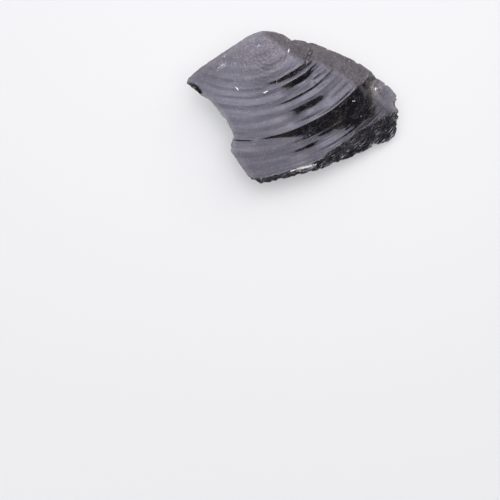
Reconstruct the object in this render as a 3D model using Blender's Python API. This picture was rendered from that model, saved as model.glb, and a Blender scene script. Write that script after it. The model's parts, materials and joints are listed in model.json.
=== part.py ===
"""Obsidian chunk: one piece of volcanic glass, broken on every side.

Lengths are in millimetres and are turned to metres where a mesh is made. The origin is under the middle of
the chunk, on the surface it rests on, with +X along its length and +Z up. The chunk starts as a block. Each
fracture is a closed slab whose inner face has the shape of the break, and a Boolean cuts it away, so two
fractures meet in the sharp edge that broken glass has.
"""

from collections import namedtuple
from math import cos, pi, radians, sin, tan

import bmesh
import bpy
import numpy as np
from mathutils import Matrix, Vector, noise

MM = 0.001

# The chunk's size.
LENGTH = 61.8
WIDTH = 42.5
TOP = 17.3  # height of the rippled face where the blow landed

# The rippled face: its rings run round the point under the blow, which lies off the chunk's back edge.
BLOW = (-15.1, 34.9)
FAN_ANGLES = (-64.0, 76.0)  # from straight towards -Y, positive towards +X
FAN_RADII = (5.0, 78.0)
FAN_COLUMNS = 74
RING_SPACING = 1.15
SLOPE_LEFT = 0.135  # fall per millimetre away from the blow
SLOPE_RIGHT = 0.050
SLOPE_ANGLES = (8.0, 40.0)
LEFT_FALL = 0.0012  # more fall towards the left tip, times the angle squared
BULB = (-7.5, 15.5, 6.0, 0.6)  # x, y, radius and height of the swelling under the blow
SWELL = (3.4, 0.055)  # length and height of the broad ripples

# Steps down in the rippled face. Each follows a ring and deepens from angle "starts" to angle "full". From
# angle "eases" on, over "easing" degrees, the same drop is spread over a longer run.
Ledge = namedtuple("Ledge", "radius starts full eases drop run easing")
LEDGES = (
    Ledge(28.8, 11, 31, 42, 0.72, 1.50, 5),
    Ledge(31.0, 19, 31, 37, 0.42, 1.70, 12),
    Ledge(35.3, 12, 29, 37, 0.28, 0.65, 12),
    Ledge(38.3, 20, 29, 35, 0.22, 1.80, 14),
)
# Dips fall like a ledge, or without its sharp lip where they are soft, and then come slowly back up. Each
# starts and is full as a ledge does, and it fades and ends at its far end.
Dip = namedtuple("Dip", "radius starts full fades ends depth run soft")
DIPS = (
    Dip(31.0, 19.0, 31.0, 33.0, 40.5, 0.55, 1.70, False),
    Dip(38.1, 15.0, 30.5, 31.5, 40.0, 0.50, 2.10, True),
    Dip(49.3, 14.0, 21.5, 23.5, 32.0, 0.34, 1.50, True),
    Dip(52.4, 28.0, 36.0, 44.0, 52.0, 0.26, 0.80, False),
)
DIP_RISE = 3.2  # how far past its run a dip comes back up
# The deepest step widens steadily from where it begins, then closes round at the chunk's right end.
GREAT_LEDGE_RADIUS = 43.7
GREAT_LEDGE_STARTS = 4.0
GREAT_LEDGE_FULL = 46.0
GREAT_LEDGE_ENDS = 54.0
GREAT_LEDGE_RUN = 8.2
GREAT_LEDGE_DROP = 4.0
GREAT_LEDGE_GROWTH = 1.7  # its drop grows with this power of how far along it is
ROW_GAP = 0.3  # rows of the fan's grid are at least this far apart
SLAB_ABOVE_FAN = 20.0

# Fractures that cut the top: a point that each passes through, the way it faces, its slope, how far its grid
# reaches, how much it domes (positive) or dishes (negative) 10 mm from that point, and how rough it is.
Facet = namedtuple("Facet", "name through faces slope reach dome grain")
FACETS = (
    Facet("smooth_shoulder", (9.0, 12.0, 15.3), 37, 15.5, 44, 0.06, 0.03),
    Facet("crushed_flank", (20.3, -6.9, 9.1), -51, 42.0, 44, 0.0, 0.22),
    Facet("front_strip", (5.0, -15.9, 10.9), -69, 47.0, 44, 0.0, 0.10),
)
FACET_CELL = 2.0
SLAB_ABOVE_FACET = 60.0

# The rim as seen from above, clockwise from the left tip. Each stretch is the top of one side fracture, which
# leans in by "undercut" at the resting face and is hollowed by "hollow".
Side = namedtuple("Side", "name undercut hollow rim")
SIDES = (
    Side("back_left", 9.0, 0.7, (
        (-30.9, 7.2), (-30.4, 8.8), (-26.5, 11.8), (-22.3, 14.4), (-18.1, 16.9), (-14.4, 19.2), (-11.9, 20.5),
        (-9.4, 21.25),
    )),
    Side("back_right", 6.5, 0.8, (
        (-9.4, 21.25), (-6.1, 21.25), (-3.2, 20.5), (-1.7, 19.4), (0.6, 19.1), (3.5, 18.9), (6.1, 18.2),
        (9.5, 16.9), (12.5, 15.8), (16.0, 14.4), (19.4, 12.7), (22.1, 10.9), (24.7, 8.9), (27.7, 6.6),
        (29.7, 4.7),
    )),
    Side("right_end", 5.0, 0.5, (
        (29.7, 4.7), (30.1, 2.7), (30.0, 1.1), (30.9, -0.9), (30.8, -4.1), (30.3, -6.5),
    )),
    Side("front_right", 4.5, 0.4, (
        (30.3, -6.5), (28.3, -8.2), (24.4, -9.5), (20.9, -11.3), (18.3, -12.7), (14.0, -14.5), (9.7, -16.3),
        (5.6, -17.6),
    )),
    Side("front", 5.0, 0.5, (
        (5.6, -17.6), (2.0, -18.7), (-1.6, -19.7), (-5.2, -20.6), (-7.6, -21.2), (-9.9, -21.25),
    )),
    Side("lobe", 6.0, 0.6, (
        (-9.9, -21.25), (-11.8, -20.9), (-14.0, -20.0), (-16.1, -17.7), (-17.7, -15.8), (-18.4, -12.2),
    )),
    Side("left", 8.0, 0.8, (
        (-18.4, -12.2), (-18.4, -10.2), (-17.6, -8.1), (-18.2, -6.5), (-20.2, -3.1), (-22.6, 0.1),
        (-24.9, 2.6), (-27.4, 4.8), (-29.9, 5.9), (-30.9, 7.2),
    )),
)
SIDE_CELL = 2.0
SIDE_REACH = 40.0  # how far a side fracture runs on past the ends of its rim
SIDE_ABOVE = 13.0  # and how far above the rim
SIDE_BELOW = 8.0  # and below the resting face
SIDE_RIPPLE = (4.6, 0.16)  # length and height of the ripples on the sides
SIDE_GRAIN = 0.12
SLAB_OUTSIDE = 40.0

# Hollows where a flake has come off a side: where along and down the side each sits, its width and its depth.
Scar = namedtuple("Scar", "side along down width depth")
SCARS = (
    Scar("back_left", 0.22, 0.62, 13.0, 1.5),
    Scar("back_left", 0.74, 0.50, 9.0, 1.1),
    Scar("back_left", 0.52, 0.98, 12.0, 1.3),
    Scar("back_right", 0.16, 0.70, 12.0, 1.5),
    Scar("back_right", 0.47, 0.50, 10.0, 1.1),
    Scar("back_right", 0.74, 0.72, 13.0, 1.5),
    Scar("right_end", 0.35, 0.80, 8.0, 1.1),
    Scar("front_right", 0.62, 0.95, 10.0, 0.9),
    Scar("front", 0.40, 0.90, 9.0, 0.9),
    Scar("lobe", 0.60, 0.60, 9.0, 1.1),
    Scar("left", 0.24, 0.55, 10.0, 1.3),
    Scar("left", 0.58, 0.85, 12.0, 1.4),
    Scar("left", 0.82, 0.50, 9.0, 1.0),
)
SCAR_GRAIN = 0.15
SLAB_OVER_SCAR = 14.0
SCAR_CELLS = 12

# Small chips knocked out of the rim: the side, where along it, the chip's width, how deep it bites, and how
# far the blow came from above (1) or below (-1).
Chip = namedtuple("Chip", "side along width bite tilt")
CHIPS = (
    Chip("back_left", 0.30, 4.6, 0.4, -0.4),
    Chip("back_right", 0.31, 4.6, 0.5, 0.4),
    Chip("back_right", 0.66, 4.4, 0.4, -0.5),
    Chip("right_end", 0.24, 4.0, 0.7, 0.3),
    Chip("right_end", 0.66, 4.0, 0.5, -0.3),
    Chip("front_right", 0.24, 4.6, 0.7, 0.2),
    Chip("front_right", 0.48, 5.2, 0.7, -0.4),
    Chip("front_right", 0.74, 4.0, 0.6, 0.3),
    Chip("front", 0.28, 4.4, 0.7, -0.3),
    Chip("front", 0.62, 4.8, 0.7, 0.3),
    Chip("lobe", 0.04, 5.0, 0.7, 1.7),
    Chip("lobe", 0.22, 4.0, 0.6, 1.6),
    Chip("lobe", 0.47, 4.6, 0.6, -0.2),
    Chip("lobe", 0.80, 3.8, 0.5, 0.4),
    Chip("left", 0.36, 5.0, 0.5, -0.4),
    Chip("left", 0.62, 4.2, 0.4, 0.3),
    Chip("left", 0.90, 6.0, 0.9, 1.6),
)

BLOCK_MARGIN = 3.0  # how much larger the starting block is than the chunk
BLOCK_HEIGHT = 19.0
MERGE = 0.015  # points nearer than this are one point
SHARP_ANGLE = 24.0
GLASS_COLOUR = (0.012, 0.012, 0.014, 1.0)
GLASS_ROUGHNESS = 0.18


def smooth_step(low, high, value):
    """0 below low, 1 above high, and an S curve between them."""
    part = np.clip((value - low) / (high - low), 0.0, 1.0)
    return part * part * (3.0 - 2.0 * part)


def rough(place, size, seed):
    """A smooth random number, about -1 to 1, that changes over lengths near size."""
    return noise.noise(Vector(place) / size + Vector((seed, 2.0 * seed, 3.0 * seed)))


def ramp_down(distance, run):
    """How much of a ledge's drop is done at a distance past its lip: steep at first, level at the foot."""
    return 1.0 - (1.0 - np.clip(distance / run, 0.0, 1.0)) ** 1.6


def ring_drift(angle, radius):
    """How far a ring strays from a true circle: the inner rings close in towards the right, and all waver."""
    inner = 1.0 - smooth_step(31.0, 38.0, radius)
    turn = -0.028 * np.clip(angle - 27.0, -12.0, 12.0) * inner
    return turn + 0.12 * np.sin(np.radians(angle * 9.0 + 40.0)) + 0.06 * np.sin(np.radians(angle * 23.0))


def ledge_drop(ledge, angle, ring):
    """A ledge's step down, with a slight lip above it. Its run grows with its depth."""
    grown = smooth_step(ledge.starts, ledge.full, angle)
    easing = smooth_step(ledge.eases, ledge.eases + ledge.easing, angle)
    run = ledge.run * (0.45 + 0.55 * grown) * (1.0 + 2.5 * easing)
    lip = 0.15 * np.exp(np.minimum(ring - ledge.radius, 0.0) / 1.1) * (ring < ledge.radius)
    return ledge.drop * grown * (ramp_down(ring - ledge.radius, run) - lip)


def dip_depth(dip, angle, ring):
    strength = smooth_step(dip.starts, dip.full, angle) * (1.0 - smooth_step(dip.fades, dip.ends, angle))
    past = ring - dip.radius
    fallen = smooth_step(0.0, dip.run, past) if dip.soft else ramp_down(past, dip.run)
    risen = smooth_step(dip.run, dip.run + DIP_RISE, past)
    return dip.depth * strength * fallen * (1.0 - risen)


def great_ledge_drop(angle, ring):
    """The deepest step. part is how far along it is, 0 where it begins and 1 where it is full."""
    part = np.clip((angle - GREAT_LEDGE_STARTS) / (GREAT_LEDGE_FULL - GREAT_LEDGE_STARTS), 0.0, 1.12)
    drop = GREAT_LEDGE_DROP * part**GREAT_LEDGE_GROWTH
    closing = 1.0 - 0.7 * smooth_step(GREAT_LEDGE_FULL, GREAT_LEDGE_ENDS, angle)
    run = 0.3 + GREAT_LEDGE_RUN * part * smooth_step(0.05, 0.65, part) * closing
    lip = 0.07 * np.exp(np.minimum(ring - GREAT_LEDGE_RADIUS, 0.0) / 1.6) * (ring < GREAT_LEDGE_RADIUS)
    return drop * (ramp_down(ring - GREAT_LEDGE_RADIUS, run) - lip)


def rippled_height(angle, ring):
    """Height of the rippled face at a fan angle, in degrees, and a ring radius."""
    radius = ring + ring_drift(angle, ring)
    x = BLOW[0] + radius * np.sin(np.radians(angle))
    y = BLOW[1] - radius * np.cos(np.radians(angle))
    slope = SLOPE_LEFT + (SLOPE_RIGHT - SLOPE_LEFT) * smooth_step(*SLOPE_ANGLES, angle)
    height = TOP - slope * (ring - 14.0) - LEFT_FALL * np.minimum(angle, 0.0) ** 2
    height = height + BULB[3] * np.exp(-((x - BULB[0]) ** 2 + (y - BULB[1]) ** 2) / (2.0 * BULB[2] ** 2))
    broad = 0.25 + 0.75 * smooth_step(0.0, 25.0, angle) * (1.0 - smooth_step(40.0, 46.0, ring))
    height = height + broad * SWELL[1] * np.cos(2.0 * pi * ring / SWELL[0] + 0.03 * angle)
    for ledge in LEDGES:
        height = height - ledge_drop(ledge, angle, ring)
    for dip in DIPS:
        height = height - dip_depth(dip, angle, ring)
    return height - great_ledge_drop(angle, ring)


def facet_height(facet, x, y):
    """Height of a facet over a point."""
    x_in = x - facet.through[0]
    y_in = y - facet.through[1]
    out = x_in * cos(radians(facet.faces)) + y_in * sin(radians(facet.faces))
    dome = facet.dome * min((x_in**2 + y_in**2) / 100.0, 9.0)
    grain = facet.grain * rough((x, y, 0.0), 3.0, facet.reach + facet.slope)
    return facet.through[2] - out * tan(radians(facet.slope)) - dome + grain


def rim_height(x, y):
    """Height of the top at a point of the rim, the lowest of the fractures that pass over it."""
    radius = np.hypot(x - BLOW[0], y - BLOW[1])
    angle = np.degrees(np.arctan2(x - BLOW[0], BLOW[1] - y))
    heights = [facet_height(facet, x, y) for facet in FACETS]
    heights.append(float(rippled_height(angle, radius - ring_drift(angle, radius))))
    return min(heights)


def ring_radii():
    """Radii of the fan's rows: even steps, with more rows where a ledge or a dip falls away."""
    lips = {GREAT_LEDGE_RADIUS} | {fall.radius for fall in LEDGES + DIPS}
    rows = list(np.arange(FAN_RADII[0], FAN_RADII[1], RING_SPACING))
    rows += list(lips)
    rows.append(GREAT_LEDGE_RADIUS + 0.5)
    for fall in LEDGES + DIPS:
        rows += [fall.radius + 0.3 * fall.run, fall.radius + 0.7 * fall.run]
    kept = []
    for row in sorted(rows):
        if kept and row - kept[-1] < ROW_GAP:
            if row not in lips:
                continue
            kept.pop()
        kept.append(row)
    return kept


def new_object(name, mesh, collection):
    made = bpy.data.objects.new(name, mesh)
    collection.objects.link(made)
    return made


def slab_cutter(name, columns, rows, place, outward, thickness, collection):
    """A closed cutter: a grid whose points are put where place(column, row) says, made thick outwards."""
    body = bmesh.new()
    bmesh.ops.create_grid(body, x_segments=columns - 1, y_segments=rows - 1, size=0.5)
    body.verts.ensure_lookup_table()
    for index, vert in enumerate(body.verts):
        vert.co = Vector(place(index % columns, index // columns)) * MM
    shell = bmesh.ops.extrude_face_region(body, geom=list(body.faces), use_keep_orig=True)
    moved = [item for item in shell["geom"] if isinstance(item, bmesh.types.BMVert)]
    bmesh.ops.translate(body, verts=moved, vec=Vector(outward) * thickness * MM)
    bmesh.ops.triangulate(body, faces=list(body.faces), quad_method="FIXED")
    bmesh.ops.recalc_face_normals(body, faces=list(body.faces))
    mesh = bpy.data.meshes.new(name)
    body.to_mesh(mesh)
    body.free()
    return new_object(name, mesh, collection)


def fan_cutter(collection):
    """Everything above the rippled face, as a slab over a fan of rings round the blow."""
    radii = ring_radii()
    angles = np.linspace(*FAN_ANGLES, FAN_COLUMNS)

    def place(column, row):
        angle = angles[column]
        ring = radii[row]
        radius = ring + ring_drift(angle, ring)
        x = BLOW[0] + radius * sin(radians(angle))
        y = BLOW[1] - radius * cos(radians(angle))
        return x, y, rippled_height(angle, ring)

    return slab_cutter("rippled_face", FAN_COLUMNS, len(radii), place, (0, 0, 1), SLAB_ABOVE_FAN, collection)


def facet_cutter(facet, collection):
    """A slab over one of the facets that cut the top."""
    away = Vector((cos(radians(facet.faces)), sin(radians(facet.faces))))
    across = Vector((away.y, -away.x))
    centre = Vector(facet.through[:2])
    cells = int(2 * facet.reach / FACET_CELL) + 1

    def place(column, row):
        spread = facet.reach * (2.0 * column / (cells - 1) - 1.0)
        out = facet.reach * (2.0 * row / (cells - 1) - 1.0)
        spot = centre + across * spread + away * out
        return spot.x, spot.y, facet_height(facet, spot.x, spot.y)

    return slab_cutter(facet.name, cells, cells, place, (0, 0, 1), SLAB_ABOVE_FACET, collection)


Frame = namedtuple("Frame", "rim along down outward length depth")


def side_frame(side):
    """A side's rim points, its directions along, down and outward, and its length and depth."""
    rim = [Vector((x, y, rim_height(x, y))) for x, y in side.rim]
    along = (rim[-1] - rim[0]).normalized()
    inward = Vector((along.y, -along.x, 0.0)).normalized()
    middle = (rim[0] + rim[-1]) / 2.0
    foot = Vector((middle.x, middle.y, 0.0)) + inward * side.undercut
    drop = foot - middle
    down = (drop - along * drop.dot(along)).normalized()
    outward = down.cross(along)
    if outward.dot(inward) > 0.0:
        outward.negate()
    return Frame(rim, along, down, outward, (rim[-1] - rim[0]).length, drop.length)


def ring_wave(u, v, length):
    """Ripples of a given length that spread round the point u = v = 0."""
    return cos(2.0 * pi * float(np.hypot(u, v)) / length)


def side_cutter(side, number, collection):
    """A slab outside one side. Its inner face follows the rim at the top and is hollowed below it."""
    frame = side_frame(side)
    start = frame.rim[0]
    stations = [(point - start).dot(frame.along) for point in frame.rim]
    offsets = [(point - start).dot(frame.outward) for point in frame.rim]
    width = frame.length + 2 * SIDE_REACH
    height = SIDE_ABOVE + frame.depth + SIDE_BELOW
    columns = int(width / SIDE_CELL) + 1
    rows = int(height / SIDE_CELL) + 1

    def place(column, row):
        u = width * column / (columns - 1) - SIDE_REACH
        v = height * row / (rows - 1) - SIDE_ABOVE
        fade = 1.0 - 0.75 * smooth_step(0.0, frame.depth, v)
        lift = float(np.interp(u, stations, offsets)) * fade
        lift -= side.hollow * sin(pi * min(max(v / frame.depth, 0.0), 1.0))
        ripple = ring_wave(u - 0.45 * frame.length, v + 4.0, SIDE_RIPPLE[0])
        lift += SIDE_RIPPLE[1] * ripple * smooth_step(0.5, 4.0, v)
        spot = start + frame.along * u + frame.down * v
        lift += SIDE_GRAIN * rough(spot, 4.0, number + 11.0) * smooth_step(0.0, 3.0, v)
        return spot + frame.outward * lift

    return slab_cutter("side_" + side.name, columns, rows, place, frame.outward, SLAB_OUTSIDE, collection)


def scar_cutter(scar, number, collection):
    """A bowl-faced slab that hollows a side where a flake came off it."""
    side = next(side for side in SIDES if side.name == scar.side)
    frame = side_frame(side)
    centre = frame.rim[0] + frame.along * scar.along * frame.length + frame.down * scar.down * frame.depth
    reach = 0.72 * scar.width
    bowl = 4.0 * scar.depth / scar.width**2
    floor = scar.depth + side.hollow * sin(pi * min(scar.down, 1.0))

    def place(column, row):
        u = reach * (2.0 * column / (SCAR_CELLS - 1) - 1.0)
        v = reach * (2.0 * row / (SCAR_CELLS - 1) - 1.0)
        spot = centre + frame.along * u + frame.down * v
        lift = bowl * (u * u + v * v) - floor + SCAR_GRAIN * rough(spot, 4.0, number + 31.0)
        return spot + frame.outward * lift

    name = f"scar_{number}"
    return slab_cutter(name, SCAR_CELLS, SCAR_CELLS, place, frame.outward, SLAB_OVER_SCAR, collection)


def chip_cutter(chip, number, collection):
    """A faceted ball that bites a small chip out of the rim."""
    side = next(side for side in SIDES if side.name == chip.side)
    frame = side_frame(side)
    stations = [(point - frame.rim[0]).dot(frame.along) for point in frame.rim]
    station = chip.along * frame.length
    place = Vector([float(np.interp(station, stations, values)) for values in zip(*frame.rim)])
    radius = 0.5 * chip.width
    level = Vector((frame.outward.x, frame.outward.y, 0.0)).normalized()
    away = (level + Vector((0.0, 0.0, chip.tilt))).normalized()
    body = bmesh.new()
    bmesh.ops.create_icosphere(body, subdivisions=2, radius=radius * MM)
    turn = Matrix.Rotation(number * 1.9, 4, "X") @ Matrix.Rotation(number * 0.7, 4, "Z")
    bmesh.ops.transform(body, matrix=turn, verts=body.verts)
    bmesh.ops.translate(body, vec=(place + away * (radius - chip.bite)) * MM, verts=body.verts)
    mesh = bpy.data.meshes.new(f"chip_{number}")
    body.to_mesh(mesh)
    body.free()
    return new_object(f"chip_{number}", mesh, collection)


def glass_material():
    material = bpy.data.materials.new("obsidian")
    material.use_nodes = True
    shader = material.node_tree.nodes["Principled BSDF"]
    shader.inputs["Base Color"].default_value = GLASS_COLOUR
    shader.inputs["Roughness"].default_value = GLASS_ROUGHNESS
    shader.inputs["Metallic"].default_value = 0.0
    material.diffuse_color = GLASS_COLOUR
    return material


def starting_block(collection):
    """A block a little larger than the chunk, whose lower face is the flat one that the chunk rests on."""
    bpy.ops.mesh.primitive_cube_add(size=1.0)
    block = bpy.context.object
    block.name = "starting_block"
    body = bmesh.new()
    body.from_mesh(block.data)
    bmesh.ops.subdivide_edges(body, edges=body.edges, cuts=7, use_grid_fill=True)
    size = Vector((LENGTH + BLOCK_MARGIN, WIDTH + BLOCK_MARGIN, BLOCK_HEIGHT))
    bmesh.ops.scale(body, vec=size * MM, verts=body.verts)
    bmesh.ops.triangulate(body, faces=list(body.faces))
    body.to_mesh(block.data)
    body.free()
    block.location.z = 0.5 * BLOCK_HEIGHT * MM
    for holder in list(block.users_collection):
        holder.objects.unlink(block)
    collection.objects.link(block)
    return block


def broken_mesh(block):
    """The block with all its fractures cut, as one clean mesh."""
    bpy.context.view_layer.update()
    graph = bpy.context.evaluated_depsgraph_get()
    mesh = bpy.data.meshes.new_from_object(block.evaluated_get(graph), depsgraph=graph)
    mesh.transform(block.matrix_world)
    body = bmesh.new()
    body.from_mesh(mesh)
    bmesh.ops.remove_doubles(body, verts=body.verts, dist=MERGE * MM)
    bmesh.ops.dissolve_degenerate(body, edges=body.edges, dist=0.5 * MERGE * MM)
    bmesh.ops.triangulate(body, faces=[face for face in body.faces if len(face.verts) > 4])
    body.to_mesh(mesh)
    body.free()
    mesh.shade_smooth()
    mesh.set_sharp_from_angle(angle=radians(SHARP_ANGLE))
    return mesh


def clear_scene():
    for old in list(bpy.data.objects):
        bpy.data.objects.remove(old, do_unlink=True)


def main():
    clear_scene()
    parts = bpy.data.collections.new("obsidian_chunk")
    cutters = bpy.data.collections.new("cutters")
    cutters.hide_render = True
    for collection in (parts, cutters):
        bpy.context.scene.collection.children.link(collection)
    block = starting_block(cutters)
    tools = [side_cutter(side, number, cutters) for number, side in enumerate(SIDES)]
    tools += [scar_cutter(scar, number, cutters) for number, scar in enumerate(SCARS)]
    tools += [facet_cutter(facet, cutters) for facet in FACETS]
    tools.append(fan_cutter(cutters))
    tools += [chip_cutter(chip, number, cutters) for number, chip in enumerate(CHIPS)]
    for tool in tools:
        cut = block.modifiers.new(tool.name, "BOOLEAN")
        cut.operation = "DIFFERENCE"
        cut.solver = "EXACT"
        cut.object = tool
    mesh = broken_mesh(block)
    mesh.name = "obsidian_chunk"
    mesh.materials.clear()
    mesh.materials.append(glass_material())
    new_object("obsidian_chunk", mesh, parts)
    for helper in [block] + tools:
        helper.hide_render = True
        helper.display_type = "WIRE"


main()
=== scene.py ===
from collections import namedtuple
from functools import partial
from math import cos, pi, radians, sin, tan

import bmesh
import bpy
import numpy as np
from mathutils import Matrix, Vector
from mathutils.bvhtree import BVHTree
from mathutils.kdtree import KDTree
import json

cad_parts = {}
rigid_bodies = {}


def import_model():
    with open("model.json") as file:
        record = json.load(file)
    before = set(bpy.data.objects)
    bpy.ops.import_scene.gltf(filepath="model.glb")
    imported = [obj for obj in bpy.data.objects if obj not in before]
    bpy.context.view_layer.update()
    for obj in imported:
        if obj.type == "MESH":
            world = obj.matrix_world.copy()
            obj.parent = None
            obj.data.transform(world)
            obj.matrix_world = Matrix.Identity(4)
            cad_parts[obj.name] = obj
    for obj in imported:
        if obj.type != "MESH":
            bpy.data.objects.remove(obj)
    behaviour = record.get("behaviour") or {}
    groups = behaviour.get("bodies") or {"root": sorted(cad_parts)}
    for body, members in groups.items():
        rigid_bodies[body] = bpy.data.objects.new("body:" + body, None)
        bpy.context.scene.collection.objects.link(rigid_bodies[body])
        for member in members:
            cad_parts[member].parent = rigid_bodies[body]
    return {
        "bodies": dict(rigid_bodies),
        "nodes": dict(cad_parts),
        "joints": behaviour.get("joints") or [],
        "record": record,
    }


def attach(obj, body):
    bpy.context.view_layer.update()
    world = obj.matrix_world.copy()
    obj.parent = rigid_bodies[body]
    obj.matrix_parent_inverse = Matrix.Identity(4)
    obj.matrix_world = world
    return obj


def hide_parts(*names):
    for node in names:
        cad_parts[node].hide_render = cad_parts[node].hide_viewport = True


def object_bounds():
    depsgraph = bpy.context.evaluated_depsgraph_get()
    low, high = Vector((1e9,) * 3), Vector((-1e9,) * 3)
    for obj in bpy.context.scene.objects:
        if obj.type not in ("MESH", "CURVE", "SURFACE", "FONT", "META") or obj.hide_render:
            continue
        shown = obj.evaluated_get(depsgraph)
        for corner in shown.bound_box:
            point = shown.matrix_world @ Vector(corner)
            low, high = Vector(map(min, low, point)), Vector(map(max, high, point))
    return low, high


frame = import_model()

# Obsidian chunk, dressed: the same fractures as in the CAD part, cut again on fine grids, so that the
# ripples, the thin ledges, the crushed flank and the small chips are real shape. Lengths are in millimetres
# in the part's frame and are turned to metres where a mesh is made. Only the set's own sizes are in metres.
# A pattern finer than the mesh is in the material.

cad_low, cad_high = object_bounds()

MM = 0.001

# Main sizes, as in the CAD part.
LENGTH = 61.8
WIDTH = 42.5
TOP = 17.3
BLOCK_SPARE = 3.0  # how much longer and wider the starting block is than the chunk
BLOCK_HEIGHT = 19.0
BLOW = (-15.1, 34.9)  # the rings of the top run round this point, off the back edge
MIDDLE_RING = 40.0  # the radius of the ring through the middle of the top

# The top falls away from the blow, less steeply on the right, from the ring where it starts.
SLOPE_LEFT = 0.135
SLOPE_RIGHT = 0.050
SLOPE_ANGLES = (8.0, 40.0)
SLOPE_FROM = 14.0
LEFT_FALL = 0.0012  # the extra fall on the left, for each degree squared

Bulb = namedtuple("Bulb", "x y width height")
BULB = Bulb(-7.5, 15.5, 6.0, 0.6)
BULB_EYE = (-10.2, 17.5)
BULB_RIPPLE_HEIGHT = 0.012
BULB_RIPPLE_PITCH = 1.15
BULB_RIPPLE_FADE = 60.0  # square millimetres

SWELL_PITCH = 3.4
SWELL_HEIGHT = 0.040
SWELL_LEAST = 0.25  # its share left of SWELL_ANGLES and outside SWELL_RINGS
SWELL_ANGLES = (0.0, 25.0)
SWELL_RINGS = (40.0, 46.0)
SWELL_TURN = 0.03  # radians of its wave for each degree round the blow

# The rings wander: waves of a height, a number of turns to the full circle, and a shift in degrees.
RING_WAVES = ((0.12, 9.0, 40.0), (0.06, 23.0, 0.0))
INNER_RINGS = (31.0, 38.0)  # inside these the rings also lean, by INNER_LEAN for each degree from a middle
INNER_LEAN = -0.028
INNER_LEAN_MIDDLE = 27.0
INNER_LEAN_REACH = 12.0

# The top's grid: angles from straight towards -Y and radii from the blow, close together over the chunk only.
FAN_ANGLES = (-64.0, -44.0, 58.0, 76.0)
FAN_RADII = (5.0, 12.0, 62.5, 78.0)
ANGLE_STEP = 0.34
RING_STEP = 0.2
WIDE_STEP = 3.0
LEDGE_CURVE = 1.6  # how much steeper a ledge is at its lip than on average

# Ledges that step down and stay down: they deepen from "starts" to "full", and from "eases" on, over "easing"
# degrees, the same drop is spread over a run that grows by LEDGE_EASE times its length.
Ledge = namedtuple("Ledge", "radius starts full eases drop run easing")
LEDGES = (
    Ledge(28.8, 11, 31, 42, 0.72, 1.50, 5),
    Ledge(31.0, 19, 31, 37, 0.42, 1.70, 12),
    Ledge(35.3, 12, 29, 37, 0.28, 0.65, 12),
    Ledge(38.3, 20, 29, 35, 0.22, 1.80, 14),
)
LEDGE_EASE = 2.5
LEDGE_FIRST_RUN = 0.45  # the share of its run that a ledge starts with
LEDGE_LIP = (0.15, 1.1)  # its raised lip: a share of the drop, and how far it reaches back

# Hairline ledges dip and come back up: radius, angles where each starts, is full, begins to fade and ends,
# its depth and its run.
Hair = namedtuple("Hair", "radius starts full fades ends depth run")
HAIRS = (
    Hair(31.0, 19.0, 31.0, 33.0, 40.5, 0.55, 1.70),
    Hair(33.6, 35.5, 38.0, 40.0, 43.0, 0.16, 0.45),
    Hair(42.6, 20.0, 30.0, 44.0, 50.0, 0.10, 0.30),
    Hair(43.0, 27.0, 36.0, 44.0, 50.0, 0.12, 0.30),
    Hair(43.8, -4.5, -2.0, 2.5, 5.5, 0.08, 0.30),
    Hair(29.2, -31.0, -12.0, 8.0, 18.0, 0.10, 1.00),
    Hair(26.9, -34.0, -24.0, -8.0, 6.0, 0.07, 0.90),
    Hair(31.4, -20.0, -6.0, 10.0, 20.0, 0.06, 0.80),
    Hair(34.0, -24.0, -10.0, 6.0, 14.0, 0.05, 0.80),
    Hair(46.6, 14.0, 20.0, 24.0, 30.0, 0.10, 0.50),
    Hair(52.4, 28.0, 36.0, 44.0, 52.0, 0.21, 0.80),
    Hair(53.9, 30.0, 36.0, 44.0, 48.0, 0.15, 0.50),
    Hair(51.0, 38.0, 42.0, 46.0, 52.0, 0.16, 0.50),
)
HAIR_RISE = 3.2  # how far past its run a hairline comes back up
# These dips have no sharp lip: they fall and rise in one smooth hollow.
SOFT_DIPS = (
    Hair(38.1, 15.0, 28.0, 29.0, 41.0, 0.50, 2.10),
    Hair(48.8, 14.0, 21.5, 23.5, 32.0, 0.30, 1.50),
)
GREAT_LEDGE_RADIUS = 43.7
GREAT_LEDGE_STARTS = 4.0
GREAT_LEDGE_FULL = 46.0
GREAT_LEDGE_ENDS = 54.0
GREAT_LEDGE_RUN = 8.2
GREAT_LEDGE_DROP = 4.0
GREAT_LEDGE_GROWTH = 1.7
GREAT_LEDGE_PAST_FULL = 1.12  # how far past full it may grow
GREAT_LEDGE_FIRST_RUN = 0.3
GREAT_LEDGE_WIDENS = (0.05, 0.65)  # between these shares of its growth
GREAT_LEDGE_CLOSING = 0.7  # how much of its run it loses by its end
GREAT_LEDGE_LIP = (0.07, 1.6)

# Grain: random relief, with its height, the widths over which it changes in u and in v, and its seed.
Grain = namedtuple("Grain", "height wide tall seed")
GREAT_LEDGE_GRAIN = (Grain(0.10, 5.0, 3.0, 11), Grain(0.05, 1.6, 1.2, 12))

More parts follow.
